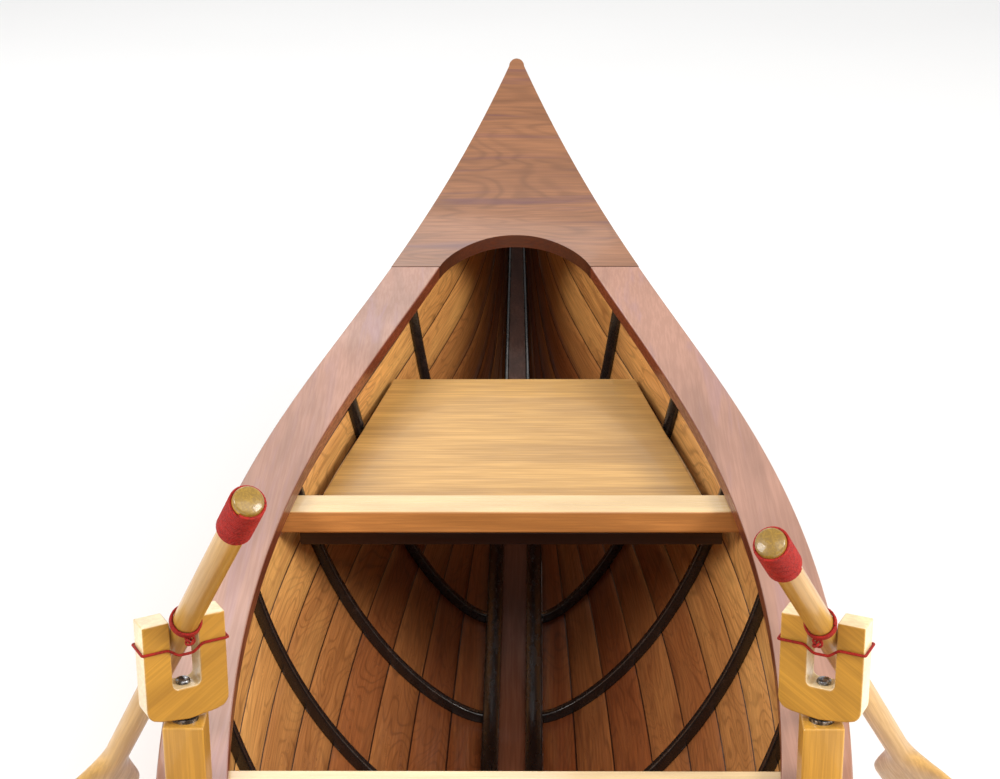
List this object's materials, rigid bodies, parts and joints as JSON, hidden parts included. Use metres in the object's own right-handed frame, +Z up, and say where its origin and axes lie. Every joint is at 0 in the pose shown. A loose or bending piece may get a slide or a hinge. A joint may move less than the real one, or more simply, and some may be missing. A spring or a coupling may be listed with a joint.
{
  "type": "display rowing canoe",
  "caption": "Strip-planked wooden display canoe with curved stems, end decks, ribs, seats and thwarts, and oars lashed in swivelling block oarlocks",
  "frame": {"origin": "on the underside of the keel, at mid length on the centre line", "axes": "+Y to the stern, +X to port, +Z up"},
  "size_m": [0.4025, 1.0814, 0.2834],
  "materials": {
    "planking": "varnished",
    "dark_wood": "gloss",
    "gunwale_wood": "gloss",
    "deck_wood": "gloss",
    "pale_wood": "gloss",
    "seat_wood": "satin",
    "lock_wood": "satin",
    "oar_wood": "satin",
    "thread": "matte",
    "steel": "satin"
  },
  "bodies": {
    "hull": {"keel_plank": "planking", "stem_stern": "planking", "stem_bow": "planking", "keelson_rail_port": "dark_wood", "keelson_rail_starboard": "dark_wood", "strip_port_1": "planking", "strip_port_2": "planking", "strip_port_3": "planking", "strip_port_4": "planking", "strip_port_5": "planking", "strip_port_6": "planking", "strip_port_7": "planking", "strip_port_8": "planking", "strip_port_9": "planking", "strip_starboard_1": "planking", "strip_starboard_2": "planking", "strip_starboard_3": "planking", "strip_starboard_4": "planking", "strip_starboard_5": "planking", "strip_starboard_6": "planking", "strip_starboard_7": "planking", "strip_starboard_8": "planking", "strip_starboard_9": "planking", "ribs_1": "dark_wood", "ribs_2": "dark_wood", "ribs_3": "dark_wood", "ribs_4": "dark_wood", "ribs_5": "dark_wood", "ribs_6": "dark_wood", "ribs_7": "dark_wood", "ribs_8": "dark_wood", "gunwale_port": "gunwale_wood", "gunwale_starboard": "gunwale_wood", "deck_stern": "deck_wood", "deck_bow": "deck_wood", "thwart_stern": "pale_wood", "thwart_bow": "pale_wood", "seat_stern": "seat_wood", "seat_bow": "seat_wood", "seat_cleats_stern": "pale_wood", "seat_cleats_bow": "pale_wood", "post_port": "lock_wood", "post_starboard": "lock_wood", "washer_port": "steel", "washer_starboard": "steel", "pin_port": "steel", "pin_starboard": "steel"},
    "lock_port": {"lock_port": "lock_wood", "lock_band_port": "thread"},
    "lashing_port": {"lashing_port": "thread"},
    "oar_port": {"oar_port": "oar_wood", "grip_whipping_port": "thread"},
    "lock_starboard": {"lock_starboard": "lock_wood", "lock_band_starboard": "thread"},
    "lashing_starboard": {"lashing_starboard": "thread"},
    "oar_starboard": {"oar_starboard": "oar_wood", "grip_whipping_starboard": "thread"}
  },
  "joints": [
    {"name": "swivel_port", "type": "hinge", "parent": "hull", "child": "lock_port", "pos_m": [0.108, -0.128, 0.19], "axis": [0, 0, 1], "range_deg": [-70, 2]},
    {"name": "pitch_port", "type": "hinge", "parent": "lock_port", "child": "lashing_port", "pos_m": [0.108, -0.128, 0.2023], "axis": [0.91, -0.4147, 0], "range_deg": [0, 37]},
    {"name": "feather_port", "type": "hinge", "parent": "lashing_port", "child": "oar_port", "pos_m": [0.108, -0.128, 0.2023], "axis": [-0.2983, -0.6546, 0.6947], "range_deg": [-90, 90]},
    {"name": "swivel_starboard", "type": "hinge", "parent": "hull", "child": "lock_starboard", "pos_m": [-0.108, -0.128, 0.19], "axis": [0, 0, 1], "range_deg": [-5, 70]},
    {"name": "pitch_starboard", "type": "hinge", "parent": "lock_starboard", "child": "lashing_starboard", "pos_m": [-0.108, -0.128, 0.2023], "axis": [0.8829, 0.4695, 0], "range_deg": [0, 37]},
    {"name": "feather_starboard", "type": "hinge", "parent": "lashing_starboard", "child": "oar_starboard", "pos_m": [-0.108, -0.128, 0.2023], "axis": [0.319, -0.5999, 0.7337], "range_deg": [-90, 90]}
  ]
}
